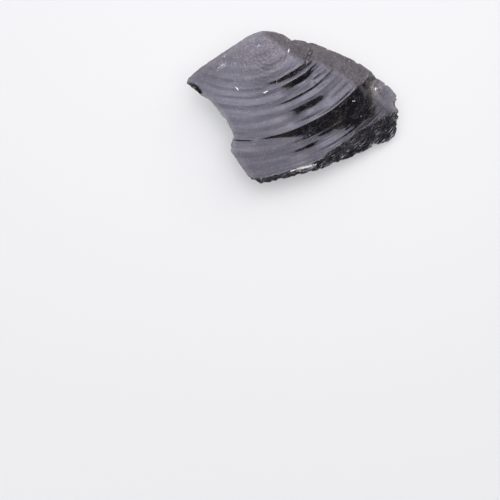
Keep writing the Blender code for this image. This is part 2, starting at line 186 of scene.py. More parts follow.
# Relief too fine for the CAD part, where u is degrees and v is the ring. Each zone fades in and out between
# these angles and rings.
Zone = namedtuple("Zone", "angles inner outer grains")
TOP_GRAIN = (
    Grain(0.016, 24.0, 2.3, 1),  # ripples along the rings
    Grain(0.012, 15.0, 0.9, 2),
    Grain(0.006, 9.0, 0.45, 3),
    Grain(0.008, 0.8, 7.0, 4),  # hackles across them
)
TORN = Zone((10.0, 26.0), (44.5, 48.0), (60.0, 64.0), (
    Grain(0.070, 11.0, 0.75, 5), Grain(0.040, 8.0, 0.4, 6),
))
TORN_EASES = (46.0, 52.0)  # between these angles the torn streaks lose TORN_LOSS of their height
TORN_LOSS = 0.8
TERRACE = Zone((12.0, 24.0), (32.0, 34.0), (42.5, 43.5), (
    Grain(0.035, 12.0, 0.6, 8), Grain(0.05, 10.0, 1.4, 9),
))
FEATHER = Zone((4.0, 20.0), (27.0, 28.8), (33.0, 35.0), (
    Grain(0.030, 11.0, 0.5, 13), Grain(0.018, 7.0, 0.32, 14),
))

# A facet goes through a point, faces an angle from +X, and slopes down that way. Its middle is domed.
Facet = namedtuple("Facet", "name through faces slope reach dome grains")
SHOULDER = Facet("smooth_shoulder", (9.0, 12.0, 15.3), 37, 15.5, 44, 0.06, (
    Grain(0.03, 3.0, 3.0, 15), Grain(0.03, 2.2, 4.5, 45),
))
FLANK = Facet("crushed_flank", (20.3, -6.9, 9.1), -51, 42.0, 44, 0.0, (
    Grain(0.22, 3.0, 3.0, 42), Grain(0.16, 1.5, 1.1, 41), Grain(0.09, 0.7, 0.5, 42),
))
STRIP = Facet("front_strip", (-2.3, -18.2, 11.4), -74, 47.0, 44, 0.0, (
    Grain(0.10, 3.0, 3.0, 47), Grain(0.12, 1.3, 0.9, 43), Grain(0.06, 0.6, 0.5, 44),
))
DOME_FROM = 10.0  # a dome is this far from its middle where it has fallen by its height
DOME_MOST = 9.0  # and it falls at most this many times its height
SHOULDER_BLEND = 0.30  # how softly the smooth shoulder meets the ledges
FACET_STEP = 0.30
FACET_ACROSS = (-17.0, 17.0)  # the stretch with the fine grid, along the facet and down it
FACET_DOWN = (-8.0, 9.0)

# The sides run round the chunk from its left tip. Each leans in under the rim and is hollow.
Side = namedtuple("Side", "name undercut hollow rim")
SIDES = (
    Side("back_left", 9.0, 0.7, (
        (-30.9, 7.2), (-30.4, 8.8), (-26.5, 11.8), (-22.3, 14.4), (-18.1, 16.9), (-14.4, 19.2), (-11.9, 20.5),
        (-9.4, 21.25),
    )),
    Side("back_right", 6.5, 0.8, (
        (-9.4, 21.25), (-6.1, 21.25), (-3.2, 20.5), (-1.7, 19.4), (0.6, 19.1), (3.5, 18.9), (6.1, 18.2),
        (9.5, 16.9), (12.5, 15.8), (16.0, 14.4), (19.4, 12.7), (22.1, 10.9), (23.5, 10.2), (25.0, 9.3),
        (28.0, 7.0), (29.9, 4.9),
    )),
    Side("right_end", 5.0, 0.5, (
        (29.9, 4.9), (30.2, 2.9), (30.0, 1.1), (30.9, -0.9), (30.8, -4.1), (30.3, -6.5),
    )),
    Side("front_right", 4.5, 0.4, (
        (30.3, -6.5), (28.3, -8.2), (24.4, -9.5), (20.9, -11.3), (18.3, -12.7), (14.0, -14.5), (9.7, -16.3),
        (5.6, -17.6),
    )),
    Side("front", 5.0, 0.5, (
        (5.6, -17.6), (2.0, -18.7), (-1.6, -19.7), (-5.2, -20.6), (-7.6, -21.2), (-9.9, -21.25),
    )),
    Side("lobe", 6.0, 0.6, (
        (-9.9, -21.25), (-11.8, -20.9), (-14.0, -20.0), (-16.1, -17.7), (-17.7, -15.8), (-18.4, -12.2),
    )),
    Side("left", 8.0, 0.8, (
        (-18.4, -12.2), (-18.4, -10.2), (-17.6, -8.1), (-18.2, -6.5), (-20.2, -3.1), (-22.6, 0.1),
        (-24.9, 2.6), (-27.9, 4.0), (-30.1, 5.5), (-30.9, 7.2),
    )),
)
SIDE_STEP = 0.40
SIDE_REACH = 40.0
SIDE_ABOVE = 13.0
SIDE_BELOW = 8.0
SIDE_STRAIGHTENS = 0.75  # how much of the rim's bends are gone at a side's foot
SIDE_WAVE = (4.6, 0.16)  # the length and height of its ripples
SIDE_WAVE_EYE = (0.45, -4.0)  # they spread from here: a share of the side's length, and millimetres down
SIDE_LUMP = Grain(0.10, 4.0, 4.0, 60)
SIDE_SKIN = (Grain(0.07, 1.3, 2.0, 70), Grain(0.03, 0.5, 0.9, 80))

# Hollow flakes struck off the sides: where along and how far down each is, in shares of the side.
Scar = namedtuple("Scar", "side along down width depth")
SCARS = (
    Scar("back_left", 0.22, 0.62, 13.0, 1.5),
    Scar("back_left", 0.74, 0.50, 9.0, 1.1),
    Scar("back_left", 0.52, 0.98, 12.0, 1.3),
    Scar("back_right", 0.16, 0.70, 12.0, 1.5),
    Scar("back_right", 0.47, 0.50, 10.0, 1.1),
    Scar("back_right", 0.74, 0.72, 13.0, 1.5),
    Scar("right_end", 0.35, 0.80, 8.0, 1.1),
    Scar("front_right", 0.62, 0.95, 10.0, 0.9),
    Scar("front", 0.40, 0.90, 9.0, 0.9),
    Scar("lobe", 0.60, 0.60, 9.0, 1.1),
    Scar("left", 0.24, 0.55, 10.0, 1.3),
    Scar("left", 0.58, 0.85, 12.0, 1.4),
    Scar("left", 0.82, 0.50, 9.0, 1.0),
)
SCAR_STEP = 0.45
SCAR_REACH = 0.72  # half the size of a scar's cutter, in widths of the scar
SCAR_WAVE = (2.4, 0.05)
SCAR_WAVE_EYE = (0.2, -0.9)  # in shares of the cutter's reach

# Chips bitten out of the rim by balls. A ball's tilt is how far up it lies for each millimetre outward.
Chip = namedtuple("Chip", "side along width bite tilt")
CHIPS = (
    Chip("back_left", 0.30, 4.6, 0.2, -0.4),
    Chip("back_right", 0.31, 4.6, 0.5, 0.4),
    Chip("back_right", 0.66, 4.4, 0.4, -0.5),
    Chip("right_end", 0.22, 3.6, 0.8, 1.9),
    Chip("right_end", 0.66, 4.0, 0.5, -0.3),
    Chip("front_right", 0.24, 4.6, 0.7, 0.2),
    Chip("front_right", 0.48, 5.2, 0.7, -0.4),
    Chip("front_right", 0.74, 4.0, 0.6, 0.3),
    Chip("front", 0.28, 4.4, 0.7, -0.3),
    Chip("front", 0.62, 4.8, 0.7, 0.3),
    Chip("lobe", 0.04, 5.0, 0.7, 1.7),
    Chip("lobe", 0.22, 4.0, 0.6, 1.6),
    Chip("lobe", 0.47, 4.6, 0.6, -0.2),
    Chip("lobe", 0.80, 3.8, 0.5, 0.4),
    Chip("left", 0.36, 5.0, 0.5, -0.4),
    Chip("left", 0.62, 4.2, 0.4, 0.3),
    Chip("left", 0.86, 12.0, 1.35, 1.6),
)
# Small chips all along the rim: how many to each side.
SMALL_CHIPS = {
    "back_left": 0, "back_right": 3, "right_end": 4, "front_right": 5, "front": 9, "lobe": 11, "left": 6,
}
CHIP_SEED = 7
CHIP_SETS = 4  # neighbours are cut by different Booleans, so that no cutter overlaps itself
CHIP_SQUEEZE = 0.8  # a chip's length along the rim, as a share of its width
CHIP_FINE = 1.2  # a ball with a larger radius than this gets a finer mesh
CHIP_WOBBLE = 0.05  # in radii of the ball

# The first seeds of the relief on sides, scars and chips. Each side and each scar adds its number.
SIDE_WAVE_SEED = 50
SCAR_WAVE_SEED = 90
CHIP_WOBBLE_SEED = 110

# Painted glints and crushed white powder: white lines on the glass, most of them painted highlights where
# tiny facets would catch the light, some white powder where the glass is crushed. Each has the ends of a
# line, its half width and its strength.
GlintAndPowder = namedtuple("GlintAndPowder", "start end reach strength")
GLINTS_AND_POWDER = (
    GlintAndPowder((-1.0, -17.6), (6.6, -15.6), 0.32, 1.0),
    GlintAndPowder((22.8, -4.7), (23.0, -5.6), 0.35, 0.9),
    GlintAndPowder((-16.9, 5.9), (-16.0, 4.9), 0.28, 0.8),
    GlintAndPowder((-9.0, 4.2), (-7.4, 4.9), 0.26, 0.8),
    GlintAndPowder((-2.1, 15.0), (-1.7, 16.3), 0.26, 0.8),
    GlintAndPowder((16.5, 2.3), (17.3, 2.3), 0.30, 0.5),
    GlintAndPowder((2.6, -8.4), (4.7, -7.2), 0.17, 0.25),
    GlintAndPowder((4.2, -6.9), (4.9, -8.2), 0.16, 0.25),
    GlintAndPowder((-22.1, 10.8), (-19.3, 12.4), 0.90, 0.28),
    GlintAndPowder((-20.6, 14.2), (-19.0, 14.9), 0.60, 0.28),
    GlintAndPowder((-10.8, 16.6), (-10.1, 17.4), 0.45, 0.24),
    GlintAndPowder((23.2, 6.1), (24.4, 6.8), 0.60, 0.60),
    GlintAndPowder((-27.3, 5.1), (-26.9, 4.3), 0.24, 0.7),
)
CREASE = ((2.7, 12.0), (4.8, 16.9), 0.30, 0.60)  # its ends, its depth and half width
CRUSHED_SPOT = (23.2, 6.2, 2.7)  # x, y and radius of the crushed patch at the end of the great ledge
CRUSHED_WALL = (21.9, 8.4, 2.0)  # and of the crushed wall behind it
CRUSHED_GRAIN = (Grain(0.13, 0.9, 0.7, 46), Grain(0.06, 0.4, 0.4, 47))
CRUSHED_SINK = 0.05

# How thick the slabs are that cut the top, the facets, the sides and the scars.
TOP_SLAB = 20.0
FACET_SLAB = 60.0
SIDE_SLAB = 40.0
SCAR_SLAB = 14.0

# A point belongs to a surface up to the first distance from it, and no more from the second on.
NEAR_TOP = (0.04, 0.15)
NEAR_FACET = (0.04, 0.25)
NEAR_SHOULDER = (0.05, 0.5)
GLINT_AND_POWDER_DEPTH = (0.4, 1.2)
# The clouds at the crushed spot and wall fade between these shares of their radius. The wall's is stronger.
SPOT_FADE = (0.3, 1.4)
WALL_FADE = (0.3, 1.3)
WALL_CLOUD = 1.6

WELD = 0.002
SHARP_ANGLE = 30.0
BOX_GAP = 0.01  # how far inside the CAD part's box the chunk stays
EDGE_MOST = 4.0  # distances to edges, to the rim and through the glass are measured up to these
RIM_MOST = 12.0
THICK_MOST = 12.0

# The set, in metres.
BACKDROP = "#f6f7f9"
FLOOR_RADIUS = 6.0
GLOW_REACH = (0.05, 0.30)  # how far from the chunk the floor's own glow starts to grow, and where it is full
GLOW_NEAR = 0.35  # the glow's share beside the chunk
SOFTBOX_MIDDLE = 0.42  # the radius of a softbox's brighter middle, as a share of its side
ROOM_LIGHT = (-0.2, 0.9, 0.10, 0.55)  # two directions in Y, and the room's brightness at each
LENS = 60.0  # this and the sensor's width are in millimetres
SENSOR_WIDTH = 36.0
CAMERA_PLACE = (-0.0128, -0.04035, 0.2517)


def smooth_step(low, high, value):
    """0 below low, 1 above high, and an S curve between them."""
    part = np.clip((value - low) / (high - low), 0.0, 1.0)
    return part * part * (3.0 - 2.0 * part)


LATTICES = {}


def rough(u, v, seed):
    """Smooth random numbers, -1 to 1, that change over one unit of u and of v."""
    if seed not in LATTICES:
        LATTICES[seed] = np.random.default_rng(seed).uniform(-1.0, 1.0, (256, 256))
    lattice = LATTICES[seed]
    u = np.asarray(u, float) + 71.3
    v = np.asarray(v, float) + 37.7
    column = np.floor(u).astype(int)
    row = np.floor(v).astype(int)
    across = (u - column) ** 2 * (3.0 - 2.0 * (u - column))
    up = (v - row) ** 2 * (3.0 - 2.0 * (v - row))
    near = lattice[row % 256, column % 256] * (1 - across) + lattice[row % 256, (column + 1) % 256] * across
    far = lattice[(row + 1) % 256, column % 256] * (1 - across)
    far = far + lattice[(row + 1) % 256, (column + 1) % 256] * across
    return near * (1 - up) + far * up


def grown_in(grains, u, v, number=0):
    """The sum of some grains at u and v. number is added to their seeds."""
    return sum(grain.height * rough(u / grain.wide, v / grain.tall, grain.seed + number) for grain in grains)


def ramp_down(distance, run):
    """How much of a ledge's drop is done at a distance past its lip: steep at first, level at the foot."""
    return 1.0 - (1.0 - np.clip(distance / run, 0.0, 1.0)) ** LEDGE_CURVE


def raised_lip(lip, past):
    """How far the glass stands up just before a ledge, as a share of its drop. past is how far past it is."""
    return lip[0] * np.exp(np.minimum(past, 0.0) / lip[1]) * (past < 0.0)


def ring_drift(angle, radius):
    """How far out of round the rings are."""
    inner = 1.0 - smooth_step(*INNER_RINGS, radius)
    drift = INNER_LEAN * np.clip(angle - INNER_LEAN_MIDDLE, -INNER_LEAN_REACH, INNER_LEAN_REACH) * inner
    for height, turns, shift in RING_WAVES:
        drift = drift + height * np.sin(np.radians(angle * turns + shift))
    return drift


def fan_point(angle, ring):
    """Where a place given by fan angle and ring is, seen from above."""
    radius = ring + ring_drift(angle, ring)
    return BLOW[0] + radius * np.sin(np.radians(angle)), BLOW[1] - radius * np.cos(np.radians(angle))


def ledge_drop(ledge, angle, ring):
    """A ledge's step down. Its run grows with its depth, so that it starts as a hairline."""
    grown = smooth_step(ledge.starts, ledge.full, angle)
    eased = 1.0 + LEDGE_EASE * smooth_step(ledge.eases, ledge.eases + ledge.easing, angle)
    run = ledge.run * (LEDGE_FIRST_RUN + (1.0 - LEDGE_FIRST_RUN) * grown) * eased
    past = ring - ledge.radius
    return ledge.drop * grown * (ramp_down(past, run) - raised_lip(LEDGE_LIP, past))


def hair_dip(hair, angle, ring, soft=False):
    """A dip with a steep near side and a far side that comes slowly back up."""
    strength = smooth_step(hair.starts, hair.full, angle) * (1.0 - smooth_step(hair.fades, hair.ends, angle))
    past = ring - hair.radius
    fall = smooth_step(0.0, hair.run, past) if soft else ramp_down(past, hair.run)
    return hair.depth * strength * fall * (1.0 - smooth_step(hair.run, hair.run + HAIR_RISE, past))


def great_ledge_drop(angle, ring):
    """The deep dark ledge. It widens and deepens to the right, and closes at its end."""
    part = (angle - GREAT_LEDGE_STARTS) / (GREAT_LEDGE_FULL - GREAT_LEDGE_STARTS)
    part = np.clip(part, 0.0, GREAT_LEDGE_PAST_FULL)
    closing = 1.0 - GREAT_LEDGE_CLOSING * smooth_step(GREAT_LEDGE_FULL, GREAT_LEDGE_ENDS, angle)
    run = GREAT_LEDGE_FIRST_RUN + GREAT_LEDGE_RUN * part * smooth_step(*GREAT_LEDGE_WIDENS, part) * closing
    run = run * (1.0 + grown_in(GREAT_LEDGE_GRAIN, angle, ring))
    past = ring - GREAT_LEDGE_RADIUS
    drop = GREAT_LEDGE_DROP * part**GREAT_LEDGE_GROWTH
    return drop * (ramp_down(past, run) - raised_lip(GREAT_LEDGE_LIP, past))


def fine_relief(angle, ring):
    """Ripples, hackles and torn streaks."""
    relief = grown_in(TOP_GRAIN, angle, ring)
    for zone in (TORN, TERRACE, FEATHER):
        share = smooth_step(*zone.angles, angle) * smooth_step(*zone.inner, ring)
        share = share * (1.0 - smooth_step(*zone.outer, ring))
        if zone is TORN:
            share = share * (1.0 - TORN_LOSS * smooth_step(*TORN_EASES, angle))
        relief = relief + share * grown_in(zone.grains, angle, ring)
    return relief


def rippled_height(angle, ring):
    """The height of the rippled face, with its slope, bulb, swell, ledges, dips and fine relief."""
    x, y = fan_point(angle, ring)
    slope = SLOPE_LEFT + (SLOPE_RIGHT - SLOPE_LEFT) * smooth_step(*SLOPE_ANGLES, angle)
    height = TOP - slope * (ring - SLOPE_FROM) - LEFT_FALL * np.minimum(angle, 0.0) ** 2
    from_bulb = (x - BULB.x) ** 2 + (y - BULB.y) ** 2
    height = height + BULB.height * np.exp(-from_bulb / (2.0 * BULB.width**2))
    ripple = np.cos(2.0 * pi * np.sqrt(from_bulb) / BULB_RIPPLE_PITCH)
    height = height + BULB_RIPPLE_HEIGHT * ripple * np.exp(-from_bulb / BULB_RIPPLE_FADE)
    full = smooth_step(*SWELL_ANGLES, angle) * (1.0 - smooth_step(*SWELL_RINGS, ring))
    swell = SWELL_HEIGHT * (SWELL_LEAST + (1.0 - SWELL_LEAST) * full)
    height = height + swell * np.cos(2.0 * pi * ring / SWELL_PITCH + SWELL_TURN * angle)
    for ledge in LEDGES:
        height = height - ledge_drop(ledge, angle, ring)
    for hair in HAIRS:
        height = height - hair_dip(hair, angle, ring)
    for dip in SOFT_DIPS:
        height = height - hair_dip(dip, angle, ring, soft=True)
    return height - great_ledge_drop(angle, ring) + fine_relief(angle, ring)


def facet_height(facet, x, y):
    """The height of a facet above a point."""
    x_in = x - facet.through[0]
    y_in = y - facet.through[1]
    out = x_in * cos(radians(facet.faces)) + y_in * sin(radians(facet.faces))
    dome = facet.dome * np.minimum((x_in**2 + y_in**2) / DOME_FROM**2, DOME_MOST)
    return facet.through[2] - out * tan(radians(facet.slope)) - dome + grown_in(facet.grains, x, y)


def line_distance(x, y, start, end):
    """Distance of points from a line between two ends, and how far along it each is, 0 to 1."""
    run_x = end[0] - start[0]
    run_y = end[1] - start[1]
    share = ((x - start[0]) * run_x + (y - start[1]) * run_y) / (run_x**2 + run_y**2)
    share = np.clip(share, 0.0, 1.0)
    return np.hypot(x - start[0] - share * run_x, y - start[1] - share * run_y), share


def crease_dip(x, y):
    """The crease that runs from the end of the first ledge to the notch in the back edge."""
    start, end, depth, reach = CREASE
    away, share = line_distance(x, y, start, end)
    return depth * (1.0 - smooth_step(0.0, reach, away)) * np.sin(pi * (0.1 + 0.8 * share))


def top_height(angle, ring):
    """The rippled face and the smooth shoulder in one, joined by a soft crease, with the crushed patch."""
    x, y = fan_point(angle, ring)
    rippled = rippled_height(angle, ring)
    shoulder = facet_height(SHOULDER, x, y)
    share = np.clip(0.5 + 0.5 * (shoulder - rippled) / SHOULDER_BLEND, 0.0, 1.0)
    height = shoulder + (rippled - shoulder) * share - SHOULDER_BLEND * share * (1.0 - share)
    height = height - crease_dip(x, y)
    near = np.exp(-((x - CRUSHED_SPOT[0]) ** 2 + (y - CRUSHED_SPOT[1]) ** 2) / CRUSHED_SPOT[2] ** 2)
    return height + near * (grown_in(CRUSHED_GRAIN, x, y) - CRUSHED_SINK)


def fan_place(x, y):
    """The fan angle and ring of a point seen from above."""
    radius = np.hypot(x - BLOW[0], y - BLOW[1])
    angle = np.degrees(np.arctan2(x - BLOW[0], BLOW[1] - y))
    return angle, radius - ring_drift(angle, radius)


def rim_height(x, y):
    """The height of the chunk's rim, where the lowest of the top and the facets is."""
    heights = [float(top_height(*fan_place(x, y)))]
    heights += [float(facet_height(facet, x, y)) for facet in (FLANK, STRIP)]
    return min(heights)


def steps(low, fine_low, fine_high, high, step, wide):
    """Grid stations from low to high, close together between fine_low and fine_high."""
    before = np.linspace(low, fine_low, max(2, int((fine_low - low) / wide) + 1), endpoint=False)
    inside = np.linspace(fine_low, fine_high, int((fine_high - fine_low) / step) + 1, endpoint=False)
    after = np.linspace(fine_high, high, max(2, int((high - fine_high) / wide) + 1))
    return np.concatenate([before, inside, after])


def new_object(name, mesh, collection):
    made = bpy.data.objects.new(name, mesh)
    collection.objects.link(made)
    return made


def finished(body, name, collection):
    """A new object of what was modelled in body."""
    mesh = bpy.data.meshes.new(name)
    body.to_mesh(mesh)
    body.free()
    return new_object(name, mesh, collection)


def slab_cutter(name, points, outward, thickness, collection):
    """A closed cutter: a grid of points, rows by columns by 3, made thick on its outward side."""
    rows, columns = points.shape[:2]
    body = bmesh.new()
    bmesh.ops.create_grid(body, x_segments=columns - 1, y_segments=rows - 1, size=0.5)
    flat = (points.reshape(-1, 3) * MM).tolist()
    for vert, place in zip(body.verts, flat):
        vert.co = place
    shell = bmesh.ops.extrude_face_region(body, geom=list(body.faces), use_keep_orig=True)
    moved = [item for item in shell["geom"] if isinstance(item, bmesh.types.BMVert)]
    bmesh.ops.translate(body, verts=moved, vec=Vector(outward) * thickness * MM)
    bmesh.ops.triangulate(body, faces=list(body.faces), quad_method="FIXED")
    bmesh.ops.recalc_face_normals(body, faces=list(body.faces))
    return finished(body, name, collection)


def fan_cutter(collection):
    """The slab over the top, on its grid of rings round the blow."""
    angles = steps(*FAN_ANGLES, ANGLE_STEP, WIDE_STEP)[None, :]
    rings = steps(*FAN_RADII, RING_STEP, WIDE_STEP)[:, None]
    points = np.stack([*fan_point(angles, rings), top_height(angles, rings)], axis=2)
    return slab_cutter("rippled_face", points, (0, 0, 1), TOP_SLAB, collection)


def facet_cutter(facet, collection):
    """A slab over a facet, with its fine grid where the chunk's front right is."""
    away = np.array([cos(radians(facet.faces)), sin(radians(facet.faces))])
    across = np.array([away[1], -away[0]])
    spread = steps(-facet.reach, *FACET_ACROSS, facet.reach, FACET_STEP, WIDE_STEP)[None, :]
    out = steps(-facet.reach, *FACET_DOWN, facet.reach, FACET_STEP, WIDE_STEP)[:, None]
    x = facet.through[0] + across[0] * spread + away[0] * out
    y = facet.through[1] + across[1] * spread + away[1] * out
    points = np.stack([x, y, facet_height(facet, x, y)], axis=2)
    return slab_cutter(facet.name, points, (0, 0, 1), FACET_SLAB, collection)


Frame = namedtuple("Frame", "rim stations along down outward length depth")


def side_frame(side):
    """A side's rim points and how far along each is, its directions, its length and its depth."""
    rim = [Vector((x, y, rim_height(x, y))) for x, y in side.rim]
    along = (rim[-1] - rim[0]).normalized()
    inward = Vector((along.y, -along.x, 0.0)).normalized()
    middle = (rim[0] + rim[-1]) / 2.0
    foot = Vector((middle.x, middle.y, 0.0)) + inward * side.undercut
    drop = foot - middle
    down = (drop - along * drop.dot(along)).normalized()
    outward = down.cross(along)
    if outward.dot(inward) > 0.0:
        outward.negate()
    stations = [(point - rim[0]).dot(along) for point in rim]
    return Frame(rim, stations, along, down, outward, (rim[-1] - rim[0]).length, drop.length)


def frame_points(frame, start, u, v, lift):
    """Grid points at u along a side's frame, v down it and lift outward, from a starting point."""
    places = [start[i] + frame.along[i] * u + frame.down[i] * v + frame.outward[i] * lift for i in range(3)]
    return np.stack(places, axis=2)


def shell_waves(u, v, length, height, seed):
    """Ripples that spread round u = v = 0, uneven in height, with fine radial hackles."""
    radius = np.hypot(u, v)
    angle = np.degrees(np.arctan2(u, v))
    wave = np.cos(2.0 * pi * radius / length + 0.6 * np.sin(2.0 * pi * radius / length))
    uneven = 0.65 + 0.35 * rough(angle / 30.0, radius / 5.0, seed)
    fine = 0.30 * rough(angle / 20.0, radius / (0.22 * length), seed + 1)
    return height * (wave * uneven + fine) + 0.010 * rough(angle / 1.6, radius / 6.0, seed + 2)


def side_cutter(side, number, collection):
    """The slab outside one side, which follows its rim and is rippled and torn below it."""
    frame = side_frame(side)
    length, depth = frame.length, frame.depth
    u = steps(-SIDE_REACH, -1.0, length + 1.0, length + SIDE_REACH, SIDE_STEP, WIDE_STEP)[None, :]
    v = steps(-SIDE_ABOVE, -2.5, depth + 1.5, depth + SIDE_BELOW, SIDE_STEP, WIDE_STEP)[:, None]
    bends = [(point - frame.rim[0]).dot(frame.outward) for point in frame.rim]
    lift = np.interp(u, frame.stations, bends) * (1.0 - SIDE_STRAIGHTENS * smooth_step(0.0, depth, v))
    lift = lift - side.hollow * np.sin(pi * np.clip(v / depth, 0.0, 1.0))
    u_waves = u - SIDE_WAVE_EYE[0] * length
    waves = shell_waves(u_waves, v - SIDE_WAVE_EYE[1], *SIDE_WAVE, SIDE_WAVE_SEED + number)
    lift = lift + waves * smooth_step(0.5, 4.0, v)
    lift = lift + grown_in([SIDE_LUMP], u, v, number) * smooth_step(0.0, 3.0, v)
    lift = lift - SIDE_SKIN[0].height - grown_in(SIDE_SKIN, u, v, number)
    points = frame_points(frame, frame.rim[0], u, v, lift)
    return slab_cutter("side_" + side.name, points, frame.outward, SIDE_SLAB, collection)


def scar_cutter(scar, number, collection):
    """The shallow bowl of one flake struck off a side."""
    side = next(side for side in SIDES if side.name == scar.side)
    frame = side_frame(side)
    centre = frame.rim[0] + frame.along * (scar.along * frame.length) + frame.down * (scar.down * frame.depth)
    reach = SCAR_REACH * scar.width
    stations = np.linspace(-reach, reach, int(2 * reach / SCAR_STEP))
    u = stations[None, :]
    v = stations[:, None]
    lift = 4.0 * scar.depth / scar.width**2 * (u * u + v * v) - scar.depth
    lift = lift - side.hollow * sin(pi * min(scar.down, 1.0))
    eye_u, eye_v = [place * reach for place in SCAR_WAVE_EYE]
    lift = lift + shell_waves(u - eye_u, v - eye_v, *SCAR_WAVE, SCAR_WAVE_SEED + number)
    points = frame_points(frame, centre, u, v, lift)
    return slab_cutter(f"scar_{number}", points, frame.outward, SCAR_SLAB, collection)


def chip_ball(body, chip, number, frame):
    """Adds to body the ball that bites one chip out of the rim."""
    station = chip.along * frame.length
    place = Vector(
        float(np.interp(station, frame.stations, [point[axis] for point in frame.rim])) for axis in range(3)
    )
    radius = 0.5 * chip.width
    level = Vector((frame.outward.x, frame.outward.y, 0.0)).normalized()
    away = (level + Vector((0.0, 0.0, chip.tilt))).normalized()
    fineness = 3 if radius > CHIP_FINE else 2
    ball = bmesh.ops.create_icosphere(body, subdivisions=fineness, radius=radius * MM)["verts"]
    turn = Matrix.Rotation(number * 1.9, 4, "X") @ Matrix.Rotation(number * 0.7, 4, "Z")
    bmesh.ops.transform(body, matrix=turn, verts=ball)
    for vert in ball:
        vert.co -= frame.along * vert.co.dot(frame.along) * (1.0 - CHIP_SQUEEZE)
        x, y, z = vert.co / MM
        wobble = CHIP_WOBBLE * radius * float(rough(x * 1.3 + number, y * 1.3 + z, CHIP_WOBBLE_SEED))
        vert.co += vert.co.normalized() * wobble * MM
    bmesh.ops.translate(body, vec=(place + away * (radius - chip.bite)) * MM, verts=ball)


def all_chips():
    """The named chips, then the small ones, spread unevenly along each side."""
    chips = list(CHIPS)
    draw = np.random.default_rng(CHIP_SEED)
    for side in SIDES:
        count = SMALL_CHIPS[side.name]
        for index in range(count):
            along = (index + draw.uniform(0.1, 0.9)) / count
            width = draw.uniform(1.0, 3.2 if side.name in ("front", "lobe") else 2.4)
            bite = draw.uniform(0.12, 0.26) * width
            chips.append(Chip(side.name, along, width, bite, draw.uniform(-0.6, 1.6)))
    return chips


def chip_cutters(collection):
    """The balls of all chips, shared out so that neighbours along the rim are in different cutters."""
    frames = {side.name: side_frame(side) for side in SIDES}
    order = {side.name: place for place, side in enumerate(SIDES)}
    chips = sorted(all_chips(), key=lambda chip: (order[chip.side], chip.along))
    made = []
    for part in range(CHIP_SETS):
        body = bmesh.new()
        for number in range(part, len(chips), CHIP_SETS):
            chip_ball(body, chips[number], number, frames[chips[number].side])
        made.append(finished(body, f"chips_{part}", collection))
    return made


def starting_block(collection):
    """A plain block on the floor, a little larger than the chunk."""
    body = bmesh.new()
    bmesh.ops.create_cube(body, size=1.0)
    size = Vector((LENGTH + BLOCK_SPARE, WIDTH + BLOCK_SPARE, BLOCK_HEIGHT)) * MM
    bmesh.ops.scale(body, vec=size, verts=body.verts)
    bmesh.ops.translate(body, vec=(0, 0, BLOCK_HEIGHT / 2.0 * MM), verts=body.verts)
    bmesh.ops.triangulate(body, faces=list(body.faces))
    return finished(body, "starting_block", collection)


def largest_island(body):
    """Deletes every island of the mesh but the one with the most points."""
    unseen = set(body.verts)
    best = set()
    while unseen:
        front = [unseen.pop()]
        island = set(front)
        while front:
            for edge in front.pop().link_edges:
                for vert in edge.verts:
                    if vert in unseen:
                        unseen.discard(vert)
                        island.add(vert)
                        front.append(vert)
        if len(island) > len(best):
            best = island
    bmesh.ops.delete(body, geom=[vert for vert in body.verts if vert not in best], context="VERTS")


def drop_flaps(body):
    """Deletes faces that lie folded onto each other, which the clean-up of tiny edges can leave."""
    same_corners = {}
    for face in body.faces:
        same_corners.setdefault(frozenset(vert.index for vert in face.verts), []).append(face)
    flaps = [face for faces in same_corners.values() if len(faces) > 1 for face in faces]
    bmesh.ops.delete(body, geom=flaps, context="FACES")


def break_block():
    """Cuts every fracture from the block and returns the chunk's mesh. The block and cutters are removed."""
    bench = bpy.data.collections.new("cutters")
    bpy.context.scene.collection.children.link(bench)
    block = starting_block(bench)
    tools = [side_cutter(side, number, bench) for number, side in enumerate(SIDES)]
    tools += [scar_cutter(scar, number, bench) for number, scar in enumerate(SCARS)]
    tools += [facet_cutter(facet, bench) for facet in (FLANK, STRIP)]
    tools.append(fan_cutter(bench))
    tools += chip_cutters(bench)
    for tool in tools:
        cut = block.modifiers.new(tool.name, "BOOLEAN")
        cut.operation = "DIFFERENCE"
        cut.solver = "MANIFOLD"
        cut.object = tool
    bpy.context.view_layer.update()
    graph = bpy.context.evaluated_depsgraph_get()
    mesh = bpy.data.meshes.new_from_object(block.evaluated_get(graph), depsgraph=graph)
    for used in [block] + tools:
        bpy.data.objects.remove(used, do_unlink=True)
    bpy.data.collections.remove(bench)
    body = bmesh.new()
    body.from_mesh(mesh)
    bmesh.ops.remove_doubles(body, verts=body.verts, dist=WELD * MM)
    bmesh.ops.dissolve_degenerate(body, edges=body.edges, dist=0.5 * WELD * MM)
    largest_island(body)
    bmesh.ops.triangulate(body, faces=[face for face in body.faces if len(face.verts) > 3])
    body.verts.index_update()
    drop_flaps(body)
    body.to_mesh(mesh)
    body.free()
    return mesh


def fit_in_box(points, low, high):
    """Shrinks and shifts the points so that they lie just inside the box, on its floor."""
    low = np.array(low)
    high = np.array(high)
    size = points.max(0) - points.min(0)
    scale = min(1.0, float(((high - low - 2.0 * BOX_GAP * MM) / size).min()))
    points = points * scale
    middle = (points.max(0) + points.min(0)) / 2.0
    wanted = (low + high) / 2.0
    points[:, :2] += np.clip(wanted - middle, -(high - low) / 2, (high - low) / 2)[:2]
    points[:, 2] += low[2] + BOX_GAP * MM - points[:, 2].min()
    return points, scale


def point_array(mesh):
    """The mesh's points, in metres, one to a row."""
    points = np.empty(len(mesh.vertices) * 3)
    mesh.vertices.foreach_get("co", points)
    return points.reshape(-1, 3)


